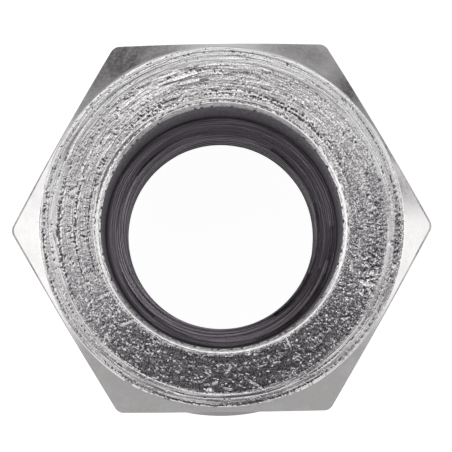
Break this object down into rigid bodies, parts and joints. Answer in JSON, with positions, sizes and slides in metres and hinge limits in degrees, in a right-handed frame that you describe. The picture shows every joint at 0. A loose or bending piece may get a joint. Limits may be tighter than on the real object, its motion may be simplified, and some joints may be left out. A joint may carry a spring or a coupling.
{
  "type": "shear nut",
  "caption": "Hexagonal shear nut: a threaded cone with a round base, joined by a thin neck to a hexagonal head that twists off when the nut is tight.",
  "frame": {"origin": "centre of the base on the surface that the nut stands on or is tightened against", "axes": "+Z along the thread's axis, from the base to the hexagon's turned face; +X towards a corner of the hexagon"},
  "size_m": [0.0218, 0.0202, 0.02],
  "materials": {
    "turned_steel": "bare turned steel: torn concentric facing marks on the end face, smooth chamfers and bore"
  },
  "bodies": {
    "root": {"shear_nut": "turned_steel"}
  },
  "joints": []
}
